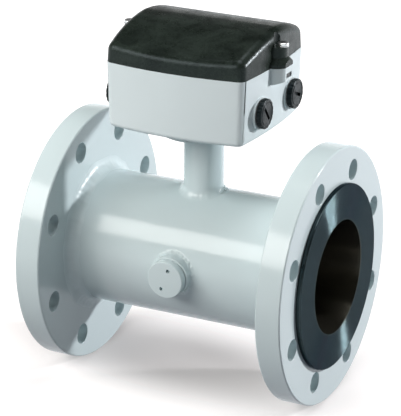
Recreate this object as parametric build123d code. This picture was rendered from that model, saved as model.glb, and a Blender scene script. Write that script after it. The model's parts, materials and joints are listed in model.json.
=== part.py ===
from build123d import *
import os
from math import asin, cos, pi, radians, sin, sqrt

# Magnetic flow meter, DN 100, flanged, with a terminal box on a neck.
# Millimetres. Origin on the pipe axis at mid-length, +X along the flow towards the outlet flange,
# -Y to the front, +Z up to the terminal box.

# Meter body
face_to_face = 250.0
flange_od = 220.0
flange_thickness = 22.0
bolt_to_rim = 20.0
bolt_hole = 18.0
bolt_count = 8
flange_edge = 1.0
pipe_od = 114.3
pipe_wall = 3.6
pipe_setback = 7.0
flange_weld_leg = 10.0
flange_weld_hollow = 1.15
pipe_fit = 0.2

# Measuring tube and liner
throat_build = 15.55
throat_length = 72.0
throat_liner = 3.0
tube_wall = 2.0
mouth_build = 5.05
cone_setback = 22.0
collar_to_bolts = 2.0
collar_thickness = 4.0
collar_edge = 1.0
bond_gap = 0.1

# Magnet
shoe_thickness = 2.0
shoe_length = 66.0
shoe_width = 62.0
coil_thickness = 4.2
coil_length = 70.0
coil_width = 76.0
coil_window_length = 32.0
coil_window_width = 26.0
coil_corner = 8.0
coil_window_corner = 4.0
yoke_thickness = 1.6
yoke_overhang = 4.0
magnet_gap = 0.2
tube_gap = 0.3

# Electrodes, on the horizontal diameter
electrode_head_od = 12.0
electrode_head = 1.5
electrode_shank = 5.0
electrode_end_gap = 0.4
sleeve_od = 9.0
sleeve_flange_od = 18.0
sleeve_flange = 1.5
spring_od = 12.0
spring_thickness = 1.2
electrode_nut_flats = 8.0
electrode_nut_height = 4.0
electrode_fit = 0.1
electrode_nut_fit = 0.05

# Electrode boss and its screwed cap
boss_od = 34.5
boss_bore = 25.2
boss_height = 8.45
boss_edge = 0.6
boss_weld_leg = 3.2
cap_od = 32.0
cap_head = 6.8
cap_edge = 0.9
cap_shank = 9.0
cap_hollow = 8.0
cap_hollow_depth = 7.0
cap_seal_od = 29.0
cap_seal = 0.8
pin_hole = 3.4
pin_circle = 17.8
pin_angle = 70.0
pin_depth = 3.0
thread_gap = 0.1

# Neck
neck_od = 33.7
neck_wall = 2.6
neck_weld_leg = 5.5
neck_height = 52.85
base_od = 80.0
base_thickness = 9.0
base_edge = 1.2
base_gasket = 1.0

# Terminal box: bowed plan, walls leaning out towards the lid
box_height = 56.0
box_half_x = 65.5
box_half_y = 64.5
box_foot_inset = 1.5
bow_x = 3.5
bow_y = 6.3
box_corner = 7.0
least_corner = 2.0
box_wall = 4.0
box_floor = 4.0
box_foot_edge = 4.0
panel_margin = 10.5
panel_height = 0.4
floor_hole = 26.0
box_screw_inset = 10.0
box_screw = 4.0
box_screw_head = 8.0
box_screw_head_height = 3.0
box_screw_length = 12.0
box_screw_slot = 1.2
box_screw_slot_depth = 1.4
screw_head_edge = 0.4
screw_fit = 0.2

# Cable entries and blanking plugs, two on each end
entry_y = 30.0
entry_height = 23.0
entry_thread = 20.0
entry_boss_od = 27.0
entry_boss_height = 0.2
plug_head_od = 25.2
plug_head = 4.2
plug_edge = 0.8
plug_shank = 9.0
plug_shank_bore = 13.0
plug_grips = 16
plug_grip_depth = 0.5
slot_length = 13.0
slot_width = 2.8
slot_depth = 2.2
plug_seal = 0.8
plug_seal_od = 24.0
front_slot_angle = -53.0
back_slot_angle = -21.0

# Lid: arched roof over vertical sides
roof_height = 29.0
roof_front_height = 12.8
roof_back_height = 13.3
roof_ridge_y = 8.0
roof_front_rise = 3.3
roof_back_rise = 3.6
lid_top_inset = 0.8
lid_corner_growth = 2.6
lid_wall = 3.2
lid_edge = 8.0
lid_inner_edge = 2.5
rim_groove_width = 2.2
rim_groove_depth = 1.8
rim_groove_inset = 1.0
gasket_fit = 0.1

# Lid lugs and screws, one on each end
screw_outset = 4.7
screw_clearance = 6.4
column_radius = 9.6
column_height = 16.4
foot_radius = 13.6
foot_height = 3.0
flare_height = 4.8
lug_reach = 10.5
driver_groove = 8.0
driver_groove_wall = 2.6
lug_inset = 1.0
lug_root = 2.8
lug_height = 14.5
lug_slope = 3.0
lug_hole_depth = 12.0
nut_flats = 10.0
nut_height = 4.0
nut_depth = 9.4
nut_fit = 0.2
lid_screw_d = 5.9
lid_screw_length = 27.0
lid_screw_head_od = 9.2
lid_screw_head = 2.5
lid_screw_slot = 1.6
lid_screw_slot_depth = 1.4
lid_screw_turn = 65.0
washer_thickness = 0.8
washer_od = 9.8

# Terminal board and what it carries
board_gap_x = 8.5
board_gap_y = 10.7
board_thickness = 1.6
board_corner = 3.0
board_height = 14.0
pillar_od = 8.0
pillar_inset = 6.0
board_screw = 3.0
board_screw_head = 6.0
board_screw_head_height = 2.2
board_screw_length = 9.0
board_screw_slot = 0.8
board_screw_slot_depth = 1.0
pole_pitch = 5.08
block_depth = 11.0
block_height = 14.0
block_bevel = 2.75
block_inset = 16.0
coil_poles = 6
signal_poles = 8
wire_mouth = 3.6
wire_mouth_height = 3.5
clamp_screw_well = 3.8
clamp_screw_depth = 7.0
clamp_screw_offset = 1.8
module_length = 34.0
module_width = 20.0
module_height = 9.0
module_corner = 1.5
module_edge = 1.0

# Wires
coil_wire = 2.4
coil_wire_x = 6.0
coil_wire_start_y = 15.0
coil_wire_neck_y = 8.0
coil_wire_bend_depth = 1.55
coil_wire_bend = 3.0
signal_wire = 1.4
signal_wire_top = 100.0
signal_wire_bend = 4.0
yoke_window = 20.0

# Worked out from the sizes above
half_length = face_to_face / 2
flange_face = half_length - collar_thickness
flange_back = flange_face - flange_thickness
bolt_circle = flange_od - 2 * bolt_to_rim
collar_od = bolt_circle - bolt_hole - 2 * collar_to_bolts
pipe_r = pipe_od / 2
pipe_inner_r = pipe_r - pipe_wall
pipe_end = flange_face - pipe_setback
flange_bore_r = pipe_r + pipe_fit
cone_end = pipe_end - cone_setback
throat_r = pipe_inner_r - throat_build
mouth_r = pipe_inner_r - mouth_build
tube_inner_r = throat_r + throat_liner + bond_gap
tube_outer_r = tube_inner_r + tube_wall
tube_end_outer_r = pipe_inner_r - bond_gap
tube_end_inner_r = tube_end_outer_r - tube_wall
shoe_inner_r = tube_outer_r + tube_gap
shoe_outer_r = shoe_inner_r + shoe_thickness
coil_inner_r = shoe_outer_r + magnet_gap
coil_outer_r = coil_inner_r + coil_thickness
yoke_inner_r = coil_outer_r + magnet_gap
yoke_outer_r = yoke_inner_r + yoke_thickness
yoke_length = coil_length + 2 * yoke_overhang
boss_face = pipe_r + boss_height
electrode_reach = boss_face + cap_seal - cap_shank + cap_hollow_depth - electrode_end_gap
neck_r = neck_od / 2
neck_inner_r = neck_r - neck_wall
base_bottom = pipe_r + neck_height
base_top = base_bottom + base_thickness
box_bottom = base_top + base_gasket
box_screw_circle = base_od - 2 * box_screw_inset
parting = box_bottom + box_height
panel_half_width = box_half_y - panel_margin
entry_z = box_bottom + entry_height
entry_boss_face = box_half_x + entry_boss_height
roof_top = parting + roof_height
roof_front = parting + roof_front_height
roof_back = parting + roof_back_height
column_top = parting + column_height
foot_top = parting + foot_height
lug_x = box_half_x - lug_inset
lug_nose = box_half_x + lug_reach
lug_bottom = parting - lug_height
lug_hole_bottom = parting - lug_hole_depth
screw_x = box_half_x + screw_outset
nut_z = parting - nut_depth
board_length = 2 * (box_half_x - bow_x - box_foot_inset - box_wall - board_gap_x)
board_width = 2 * (box_half_y - bow_y - box_foot_inset - box_wall - board_gap_y)
board_z = box_bottom + box_floor + board_height
board_top = board_z + board_thickness
block_y = board_width / 2 - block_inset
ends = {"inlet": -1, "outlet": 1}
sides = {"front": -1, "back": 1}
SHARP = 0.01
UPRIGHT = 0.9


def along(axis, start, end, radius, across=(0.0, 0.0)):
    """A round bar along X, Y or Z, from start to end, centred on the two other coordinates."""
    low, high = min(start, end), max(start, end)
    bar = Cylinder(radius, high - low, align=(Align.CENTER, Align.CENTER, Align.MIN))
    if axis == "X":
        return Pos(low, across[0], across[1]) * Rot(0, 90, 0) * bar
    if axis == "Y":
        return Pos(across[0], low, across[1]) * Rot(-90, 0, 0) * bar
    return Pos(across[0], across[1], low) * bar


def ring(axis, start, end, outer, inner, across=(0.0, 0.0)):
    """A round bar with a round hole along it."""
    return along(axis, start, end, outer, across) - along(axis, start, end, inner, across)


def turned(points):
    """A solid turned about the X axis from (x, radius) points."""
    return revolve(make_face(Polyline(*points, close=True)), Axis.X)


def slab(x_size, y_size, z_low, z_high, x=0.0, y=0.0, corner=0.0):
    """An upright block with rounded vertical edges."""
    plan = RectangleRounded(x_size, y_size, corner) if corner else Rectangle(x_size, y_size)
    return Pos(x, y, z_low) * extrude(plan, z_high - z_low)


def hexagon(flats, height):
    """A hexagonal prism along Z."""
    return extrude(RegularPolygon(flats / 2, 6, major_radius=False), height)


def mirrored_x(solid):
    """The same piece on the other end of the meter."""
    return mirror(solid, Plane.YZ)


# Flanges, pipes and welds

def flange(end):
    """One plate flange, its bolt holes straddling the vertical."""
    disc = ring("X", end * flange_back, end * flange_face, flange_od / 2, flange_bore_r)
    rims = disc.edges().filter_by(GeomType.CIRCLE).filter_by(lambda e: e.radius > bolt_circle / 2)
    disc = chamfer(rims, flange_edge)
    for number in range(bolt_count):
        angle = 2 * pi * (number + 0.5) / bolt_count
        place = (bolt_circle / 2 * cos(angle), bolt_circle / 2 * sin(angle))
        disc -= along("X", end * flange_back, end * flange_face, bolt_hole / 2, place)
    return disc


def flange_weld(end):
    """The hollow fillet weld between housing pipe and flange."""
    corner = (end * flange_back, pipe_r)
    on_flange = (end * flange_back, pipe_r + flange_weld_leg)
    on_pipe = (end * (flange_back - flange_weld_leg), pipe_r)
    sag = flange_weld_leg * (1 - sqrt(0.5)) * flange_weld_hollow
    middle = (end * (flange_back - sag), pipe_r + sag)
    outline = Line(corner, on_flange) + ThreePointArc(on_flange, middle, on_pipe) + Line(on_pipe, corner)
    return revolve(make_face(outline), Axis.X)


def housing_pipe():
    """The outer pipe, opened for the neck and for both electrode bosses."""
    pipe = ring("X", -pipe_end, pipe_end, pipe_r, pipe_inner_r)
    pipe -= along("Z", 0, pipe_od, neck_inner_r)
    pipe -= along("Y", -pipe_od, pipe_od, boss_od / 2 + pipe_fit)
    return pipe


def measuring_tube():
    """The thin stainless tube, narrowed to the throat, with holes for the electrodes."""
    half = throat_length / 2
    outer = [(-pipe_end, tube_end_outer_r), (-cone_end, tube_end_outer_r), (-half, tube_outer_r),
             (half, tube_outer_r), (cone_end, tube_end_outer_r), (pipe_end, tube_end_outer_r)]
    inner = [(pipe_end, tube_end_inner_r), (cone_end, tube_end_inner_r), (half, tube_inner_r),
             (-half, tube_inner_r), (-cone_end, tube_end_inner_r), (-pipe_end, tube_end_inner_r)]
    tube = turned(outer + inner)
    return tube - along("Y", -pipe_r, pipe_r, sleeve_od / 2 + electrode_fit)


def liner():
    """The rubber liner: funnel, throat, funnel, and a flat collar on each flange face."""
    half = throat_length / 2
    skin = throat_r + throat_liner
    end_skin = tube_end_inner_r - bond_gap
    step = pipe_end + bond_gap
    seat = flange_bore_r - bond_gap
    right_outer = [(half, skin), (cone_end, end_skin), (step, end_skin), (step, seat),
                   (flange_face, seat), (flange_face, collar_od / 2), (half_length, collar_od / 2)]
    right_inner = [(half_length, mouth_r), (half, throat_r)]
    right = right_outer + right_inner
    left = [(-x, radius) for x, radius in reversed(right)]
    rubber = turned(right + left)
    rims = rubber.edges().filter_by(GeomType.CIRCLE).filter_by(lambda e: e.radius > collar_od / 2 - SHARP)
    rubber = fillet(rims.filter_by(lambda e: abs(e.center().X) > half_length - SHARP), collar_edge)
    rubber -= along("Y", -pipe_r, pipe_r, sleeve_od / 2 + electrode_fit)
    recess = electrode_head_od / 2 + electrode_fit
    for side in sides.values():
        rubber -= along("Y", 0, side * (throat_r + electrode_head + electrode_fit), recess)
    return rubber


def saddle_weld(stub, leg):
    """The weld bead left by rounding the corner between a stub and the housing pipe."""
    joined = along("X", -flange_back, flange_back, pipe_r) + stub
    seam = joined.edges().filter_by(lambda e: e.geom_type not in (GeomType.CIRCLE, GeomType.LINE))
    return fillet(seam, leg) - joined


def neck_pipe():
    """The neck, cut to the housing pipe's curve at its foot."""
    return ring("Z", 0, base_bottom, neck_r, neck_inner_r) - along("X", -neck_od, neck_od, pipe_r)


def neck_weld():
    """The bead round the neck's foot."""
    return saddle_weld(along("Z", 0, base_bottom, neck_r), neck_weld_leg)


def boss(side):
    """A thick ring let into the housing pipe, threaded for the cap."""
    body = ring("Y", side * pipe_inner_r, side * boss_face, boss_od / 2, boss_bore / 2)
    return chamfer(body.edges().filter_by(GeomType.CIRCLE).filter_by(
        lambda e: abs(e.center().Y) > boss_face - SHARP and e.radius > boss_bore / 2 + SHARP), boss_edge)


def boss_weld(side):
    """The bead round a boss."""
    return saddle_weld(along("Y", 0, side * boss_face, boss_od / 2), boss_weld_leg)


# Electrode caps, seals and electrodes

def cap(side):
    """The screwed cap: a round head with two spanner holes over a hollow threaded shank."""
    under = boss_face + cap_seal
    face = under + cap_head
    head = along("Y", side * under, side * face, cap_od / 2)
    head = fillet(head.edges().filter_by(lambda e: abs(e.center().Y) > face - SHARP), cap_edge)
    shank = along("Y", side * (under - cap_shank), side * under, boss_bore / 2 - thread_gap)
    body = head + shank
    body -= along("Y", side * (under - cap_shank), side * (under - cap_shank + cap_hollow_depth), cap_hollow)
    angle = radians(pin_angle)
    for turn in (1, -1):
        place = (turn * pin_circle / 2 * cos(angle), turn * pin_circle / 2 * sin(angle))
        body -= along("Y", side * (face - pin_depth), side * face, pin_hole / 2, place)
    return body


def cap_seal_ring(side):
    """The flat seal under the cap's head."""
    return ring("Y", side * boss_face, side * (boss_face + cap_seal), cap_seal_od / 2, boss_bore / 2)


def electrode(side):
    """The electrode: a flat head in the liner and a long threaded shank."""
    neck = throat_r + electrode_head
    head = along("Y", side * throat_r, side * neck, electrode_head_od / 2)
    return head + along("Y", side * neck, side * electrode_reach, electrode_shank / 2)


def electrode_sleeve(side):
    """The insulating sleeve round the electrode's shank, with a flange outside the measuring tube."""
    inner = throat_r + electrode_head + electrode_fit
    seat = tube_outer_r + electrode_fit
    body = along("Y", side * inner, side * seat, sleeve_od / 2)
    body += along("Y", side * seat, side * (seat + sleeve_flange), sleeve_flange_od / 2)
    bore = along("Y", side * inner, side * (seat + sleeve_flange), electrode_shank / 2 + electrode_fit)
    return body - bore


def electrode_spring(side):
    """The spring washer that keeps the electrode tight as the liner settles."""
    seat = tube_outer_r + electrode_fit + sleeve_flange
    hole = electrode_shank / 2 + electrode_fit
    return ring("Y", side * seat, side * (seat + spring_thickness), spring_od / 2, hole)


def electrode_nut(side):
    """The hexagonal nut on the electrode's shank."""
    seat = tube_outer_r + electrode_fit + sleeve_flange + spring_thickness
    nut = hexagon(electrode_nut_flats, electrode_nut_height)
    nut = Rot(-90 if side > 0 else 90, 0, 0) * nut
    hole = electrode_shank / 2 + electrode_nut_fit
    return Pos(0, side * seat, 0) * nut - along("Y", 0, side * pipe_r, hole)


# Magnet

def shell(inner, outer, length):
    """A length of round tube about the pipe axis."""
    return ring("X", -length / 2, length / 2, outer, inner)


def pole_piece(up):
    """The curved pole shoe and the core that fills the coil's window."""
    shoe = shell(shoe_inner_r, shoe_outer_r, shoe_length) & slab(shoe_length, shoe_width, 0, pipe_od)
    window = slab(coil_window_length - 2 * magnet_gap, coil_window_width - 2 * magnet_gap, 0, pipe_od,
                  corner=coil_window_corner)
    core = shell(shoe_outer_r - SHARP, yoke_inner_r, shoe_length) & window
    piece = shoe + core
    return piece if up else mirror(piece, Plane.XY)


def coil(up):
    """A saddle coil: a flat racetrack winding bent round the measuring tube."""
    track = slab(coil_length, coil_width, 0, pipe_od, corner=coil_corner)
    track -= slab(coil_window_length, coil_window_width, 0, pipe_od, corner=coil_window_corner)
    winding = shell(coil_inner_r, coil_outer_r, coil_length) & track
    return winding if up else mirror(winding, Plane.XY)


def yoke():
    """The steel band round the coils, open below the neck and at both electrodes."""
    band = shell(yoke_inner_r, yoke_outer_r, yoke_length)
    band -= along("Z", 0, pipe_r, yoke_window)
    band -= along("Y", -pipe_r, pipe_r, sleeve_flange_od / 2 + tube_gap)
    return band


# Base and terminal box

def base_collar():
    """The round plate on top of the neck that carries the box."""
    plate = along("Z", base_bottom, base_top, base_od / 2)
    plate = chamfer(plate.edges().group_by(Axis.Z)[0], base_edge)
    plate -= along("Z", base_bottom, base_top, neck_inner_r)
    for place in box_screw_places():
        plate -= along("Z", base_top + base_gasket + box_floor - box_screw_length, base_top,
                       box_screw / 2 + thread_gap, place)
    return plate


def box_screw_places():
    """Where the four screws hold the box on the base collar."""
    spread = box_screw_circle / 2 * sqrt(0.5)
    return [(spread * right, spread * back) for right in (-1, 1) for back in (-1, 1)]


def base_gasket_ring():
    """The flat gasket between base collar and box."""
    sheet = ring("Z", base_top, base_top + base_gasket, base_od / 2 - base_edge, floor_hole / 2)
    for place in box_screw_places():
        sheet -= along("Z", base_top, base_top + base_gasket, box_screw / 2 + screw_fit, place)
    return sheet


def outline(half_x, half_y, corner):
    """A box plan with four bowed sides and rounded corners."""
    x, y = half_x - bow_x, half_y - bow_y
    plan = ThreePointArc((-x, -y), (0, -half_y), (x, -y))
    plan += ThreePointArc((x, -y), (half_x, 0), (x, y))
    plan += ThreePointArc((x, y), (0, half_y), (-x, y))
    plan += ThreePointArc((-x, y), (-half_x, 0), (-x, -y))
    face = make_face(plan)
    return fillet(face.vertices(), corner)


def box_level(z, inset=0.0):
    """The box's plan at a height, its walls leaning inwards below the parting line."""
    drop = (parting - z) / (parting - box_bottom)
    lean = box_foot_inset * drop + inset
    plan = outline(box_half_x - lean, box_half_y - lean, max(box_corner - inset, least_corner))
    return Pos(0, 0, z) * plan


def lid_level(z, inset=0.0):
    """The lid's plan at a height: above the parting line it leans inwards and its corners grow rounder."""
    rise = (z - parting) / (roof_top - parting)
    lean = lid_top_inset * rise + inset
    corner = box_corner + lid_corner_growth * rise - inset
    plan = outline(box_half_x - lean, box_half_y - lean, max(corner, least_corner))
    return Pos(0, 0, z) * plan


def between(low, high):
    """A straight-walled solid between two plans."""
    return loft([low, high], ruled=True)


def half_round(radius, z):
    """A lug's plan: half a circle on the end wall, flattened at its nose."""
    root = lug_x - lug_root
    plan = Pos(lug_x, 0) * Circle(radius)
    plan = plan & Pos(root, 0) * Rectangle(lug_nose - root, 2 * radius, align=(Align.MIN, Align.CENTER))
    return Pos(0, 0, z) * plan


def box_lug():
    """The box's lug for a lid screw, its underside rising to the nose."""
    lug = extrude(half_round(foot_radius, lug_bottom), parting - lug_bottom)
    wedge = make_face(Plane.XZ * Polyline((lug_x, lug_bottom), (lug_nose, lug_bottom),
                                          (lug_nose, lug_bottom + lug_slope), close=True))
    return lug - extrude(wedge, foot_radius * 2, both=True)


def lug_cuts():
    """What is cut from a box lug: the screw's hole and the window for the captive nut."""
    hole = along("Z", lug_hole_bottom, parting, screw_clearance / 2, (screw_x, 0))
    half = nut_flats / 2 + nut_fit
    window = Box(lug_nose - screw_x + 2 * half, 2 * half, nut_height + nut_fit,
                 align=(Align.MIN, Align.CENTER, Align.MIN))
    return hole + Pos(screw_x - half, 0, nut_z) * window


def box_body():
    """The terminal box's moulded lower half."""
    body = between(box_level(box_bottom), box_level(parting))
    foot = body.edges().group_by(Axis.Z)[0]
    body = fillet(foot, box_foot_edge)
    raised = between(box_level(box_bottom + box_foot_edge, -panel_height), box_level(parting, -panel_height))
    body += raised & slab(4 * box_half_x, 2 * panel_half_width, box_bottom, parting)
    for right in (-1, 1):
        for place in (-entry_y, entry_y):
            body += along("X", right * (box_half_x - 2 * box_wall), right * entry_boss_face,
                          entry_boss_od / 2, (place, entry_z))
    body += box_lug()
    body += mirrored_x(box_lug())
    body -= between(box_level(box_bottom + box_floor, box_wall), box_level(parting, box_wall))
    for right in (-1, 1):
        for place in (-entry_y, entry_y):
            body -= along("X", right * box_half_x / 2, right * entry_boss_face, entry_thread / 2, (place, entry_z))
    for place in pillar_places():
        body += along("Z", box_bottom + box_floor, board_z, pillar_od / 2, place)
        body -= along("Z", box_bottom + box_floor, board_z, board_screw / 2 + thread_gap, place)
    body -= lug_cuts()
    body -= mirrored_x(lug_cuts())
    body -= rim_loop(rim_groove_inset, rim_groove_inset + rim_groove_width, rim_groove_depth)
    body -= along("Z", box_bottom, box_bottom + box_floor, floor_hole / 2)
    for place in box_screw_places():
        body -= along("Z", box_bottom, box_bottom + box_floor, box_screw / 2 + screw_fit, place)
    return body


def rim_loop(outer_inset, inner_inset, depth):
    """A loop in the box's rim, between two insets from its outer edge, down from the parting line."""
    low = parting - depth
    loop = extrude(Pos(0, 0, low) * outline(box_half_x - outer_inset, box_half_y - outer_inset,
                                            box_corner - outer_inset), depth)
    loop -= extrude(Pos(0, 0, low) * outline(box_half_x - inner_inset, box_half_y - inner_inset,
                                             box_corner - inner_inset), depth)
    return loop


def lid_gasket():
    """The rubber cord in the rim's groove."""
    return rim_loop(rim_groove_inset + gasket_fit, rim_groove_inset + rim_groove_width - gasket_fit,
                    rim_groove_depth)


def pillar_places():
    """Where the board's pillars stand on the box floor."""
    x, y = board_length / 2 - pillar_inset, board_width / 2 - pillar_inset
    return [(x * right, y * back) for right in (-1, 1) for back in (-1, 1)]


def pan_screw(d, length, head_od, head, slot, slot_depth):
    """A slotted screw along Z, with the underside of its head at zero."""
    screw = along("Z", -length, 0, d / 2)
    screw += along("Z", 0, head, head_od / 2)
    screw = chamfer(screw.edges().group_by(Axis.Z)[-1], screw_head_edge)
    return screw - slab(head_od, slot, head - slot_depth, head)


def box_screws():
    """The four screws through the box floor into the base collar."""
    screw = pan_screw(box_screw, box_screw_length, box_screw_head, box_screw_head_height,
                      box_screw_slot, box_screw_slot_depth)
    top = box_bottom + box_floor
    return Compound(children=[Pos(x, y, top) * screw for x, y in box_screw_places()])


def board_screws():
    """The four screws that hold the terminal board."""
    screw = pan_screw(board_screw, board_screw_length, board_screw_head, board_screw_head_height,
                      board_screw_slot, board_screw_slot_depth)
    return Compound(children=[Pos(x, y, board_top) * screw for x, y in pillar_places()])


def terminal_board():
    """The printed board on the four pillars."""
    board = slab(board_length, board_width, board_z, board_top, corner=board_corner)
    for place in pillar_places():
        board -= along("Z", board_z, board_top, board_screw / 2 + screw_fit, place)
    return board


def terminal_block(poles, y):
    """A row of screw clamps: wire mouths to the outside, screw wells on top."""
    length = poles * pole_pitch
    block_top = board_top + block_height
    block = slab(length, block_depth, board_top, block_top, y=y)
    outward = 1 if y > 0 else -1
    bevel = block.edges().filter_by(Axis.X).sort_by(Axis.Z)[-2:].sort_by(Axis.Y)
    block = chamfer(bevel[-1] if y > 0 else bevel[0], block_bevel)
    for number in range(poles):
        x = (number + 0.5) * pole_pitch - length / 2
        block -= along("Y", y, y + outward * block_depth, wire_mouth / 2, (x, board_top + wire_mouth_height))
        block -= along("Z", block_top - clamp_screw_depth, block_top, clamp_screw_well / 2,
                       (x, y - outward * clamp_screw_offset))
    return block


def memory_module():
    """The plug-in memory unit on the board."""
    case = slab(module_length, module_width, board_top, board_top + module_height,
                corner=module_corner)
    return chamfer(case.faces().sort_by(Axis.Z)[-1].edges(), module_edge)


# Plugs

def plug_slot_angle(place):
    """The front and back plugs stopped at different angles when they were tightened."""
    return front_slot_angle if place < 0 else back_slot_angle


def plug(right, place):
    """A blanking plug: slotted head with a gripped rim, on a hollow threaded shank."""
    under = entry_boss_face + plug_seal
    face = under + plug_head
    head = along("X", under, face, plug_head_od / 2)
    head = chamfer(head.edges().filter_by(lambda e: e.center().X > face - SHARP), plug_edge)
    for number in range(plug_grips):
        angle = 2 * pi * number / plug_grips
        radius = plug_head_od / 2 + plug_grip_depth
        head -= along("X", under, face, 2 * plug_grip_depth, (radius * cos(angle), radius * sin(angle)))
    shank = along("X", under - plug_shank, under, entry_thread / 2 - thread_gap)
    shank -= along("X", under - plug_shank, under, plug_shank_bore / 2)
    body = head + shank
    angle = plug_slot_angle(place) if right > 0 else 180 - plug_slot_angle(place)
    slot = Pos(face - slot_depth / 2, 0, 0) * Rot(angle, 0, 0) * Box(slot_depth, slot_length, slot_width)
    body -= slot
    if right < 0:
        body = mirrored_x(body)
    return Pos(0, place, entry_z) * body


def plug_seal_ring(right, place):
    """The flat seal under a plug's head."""
    return ring("X", right * entry_boss_face, right * (entry_boss_face + plug_seal),
                plug_seal_od / 2, entry_thread / 2, (place, entry_z))


# Lid

def roof(drop=0.0):
    """The space under the roof, across the whole lid: a front arc and a back arc that meet at the ridge."""
    front = (-box_half_y, roof_front - drop)
    ridge = (roof_ridge_y, roof_top - drop)
    back = (box_half_y, roof_back - drop)
    edge = SagittaArc(front, ridge, roof_front_rise) + SagittaArc(ridge, back, roof_back_rise)
    walls = Polyline(back, (box_half_y, parting), (-box_half_y, parting), front)
    return extrude(Plane.YZ * make_face(edge + walls), 2 * box_half_x, both=True)


def roof_edges(shape):
    """Where the roof meets the four sides."""
    high = shape.edges().filter_by(lambda e: e.bounding_box().min.Z > parting + lid_wall)
    level = high.filter_by(lambda e: abs(e.tangent_at(0.5).Z) < UPRIGHT)
    return level.filter_by(lambda e: abs(e.center().X) + abs(e.center().Y) > box_half_y / 2)


def lid_lug():
    """The lid's lug: a round column on a flared foot."""
    foot = extrude(half_round(foot_radius, parting), foot_top - parting)
    flare = loft([Pos(lug_x, 0, foot_top) * Circle(foot_radius),
                  Pos(lug_x, 0, foot_top + flare_height) * Circle(column_radius)])
    flare &= extrude(half_round(foot_radius, foot_top), flare_height)
    column = extrude(half_round(column_radius, foot_top + flare_height),
                     column_top - foot_top - flare_height)
    return foot + flare + column


def lid():
    """The lid: arched roof, rounded edges, hollow inside, a lug and a driver groove on each end."""
    shape = between(lid_level(parting), lid_level(roof_top)) & roof()
    shape = fillet(roof_edges(shape), lid_edge)
    hollow = between(lid_level(parting, lid_wall), lid_level(roof_top, lid_wall)) & roof(lid_wall)
    hollow = fillet(roof_edges(hollow), lid_inner_edge)
    for right in (-1, 1):
        pocket = driver_groove + driver_groove_wall
        hollow -= along("Z", parting, roof_top, pocket, (right * screw_x, 0))
    shape -= hollow
    for right in (-1, 1):
        shape -= along("Z", column_top, roof_top, driver_groove, (right * screw_x, 0))
    shape += lid_lug()
    shape += mirrored_x(lid_lug())
    for right in (-1, 1):
        shape -= along("Z", parting, column_top, screw_clearance / 2, (right * screw_x, 0))
    return shape


def lid_screw(right):
    """The slotted screw that holds one end of the lid."""
    screw = pan_screw(lid_screw_d, lid_screw_length, lid_screw_head_od, lid_screw_head,
                      lid_screw_slot, lid_screw_slot_depth)
    return Pos(right * screw_x, 0, column_top + washer_thickness) * Rot(0, 0, lid_screw_turn) * screw


def lid_washer(right):
    """The washer under a lid screw's head."""
    return ring("Z", column_top, column_top + washer_thickness, washer_od / 2,
                lid_screw_d / 2 + thread_gap, (right * screw_x, 0))


def captive_nut(right):
    """The square nut in a box lug's window."""
    nut = slab(nut_flats, nut_flats, nut_z, nut_z + nut_height, x=right * screw_x)
    return nut - along("Z", nut_z, nut_z + nut_height, lid_screw_d / 2 + thread_gap, (right * screw_x, 0))


# Wires

def coil_leads():
    """Two leads from the upper coil's end turns, through the neck to the board."""
    start_r = coil_outer_r + magnet_gap + coil_wire / 2
    start_z = sqrt(start_r ** 2 - coil_wire_start_y ** 2)
    leads = []
    for way in (-1, 1):
        start = (way * coil_wire_x, way * coil_wire_start_y, start_z)
        bend = (way * coil_wire_x, way * coil_wire_neck_y, pipe_inner_r - coil_wire_bend_depth)
        end = (way * coil_wire_x, way * coil_wire_neck_y, board_z)
        route = FilletPolyline(start, bend, end, radius=coil_wire_bend)
        leads.append(sweep(Plane(start, z_dir=route % 0) * Circle(coil_wire / 2), route))
    return Compound(children=leads)


def electrode_leads():
    """A thin wire from each electrode, along the housing pipe's inside and up the neck to the board."""
    radius = (yoke_outer_r + pipe_inner_r) / 2
    start_height = electrode_shank / 2 + signal_wire / 2
    start_angle = 180 - asin(start_height / radius) * 180 / pi
    arc = CenterArc((0, 0), radius, start_angle, signal_wire_top - start_angle)
    bend = JernArc(arc @ 1, arc % 1, signal_wire_bend, 180 - signal_wire_top)
    rise = Line(bend @ 1, ((bend @ 1).X, board_z))
    route = Plane.YZ * (arc + bend + rise)
    start = Plane(route @ 0, z_dir=route % 0)
    wire = sweep(start * Circle(signal_wire / 2), route)
    return Compound(children=[wire, mirror(wire, Plane.XZ)])


nodes = {
    "housing_pipe": housing_pipe(),
    "measuring_tube": measuring_tube(),
    "liner": liner(),
    "neck_pipe": neck_pipe(),
    "neck_weld": neck_weld(),
    "coil_top": coil(True),
    "coil_bottom": coil(False),
    "pole_piece_top": pole_piece(True),
    "pole_piece_bottom": pole_piece(False),
    "yoke_band": yoke(),
    "coil_leads": coil_leads(),
    "electrode_leads": electrode_leads(),
    "base_collar": base_collar(),
    "base_gasket": base_gasket_ring(),
    "terminal_box": box_body(),
    "box_screws": box_screws(),
    "terminal_board": terminal_board(),
    "board_screws": board_screws(),
    "terminal_block_coil": terminal_block(coil_poles, -block_y),
    "terminal_block_signal": terminal_block(signal_poles, block_y),
    "memory_module": memory_module(),
    "lid_gasket": lid_gasket(),
    "lid": lid(),
}
for name, end in ends.items():
    nodes[f"flange_{name}"] = flange(end)
    nodes[f"flange_weld_{name}"] = flange_weld(end)
for name, side in sides.items():
    nodes[f"boss_{name}"] = boss(side)
    nodes[f"boss_weld_{name}"] = boss_weld(side)
    nodes[f"cap_{name}"] = cap(side)
    nodes[f"cap_seal_{name}"] = cap_seal_ring(side)
    nodes[f"electrode_{name}"] = electrode(side)
    nodes[f"electrode_sleeve_{name}"] = electrode_sleeve(side)
    nodes[f"electrode_spring_{name}"] = electrode_spring(side)
    nodes[f"electrode_nut_{name}"] = electrode_nut(side)
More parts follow.
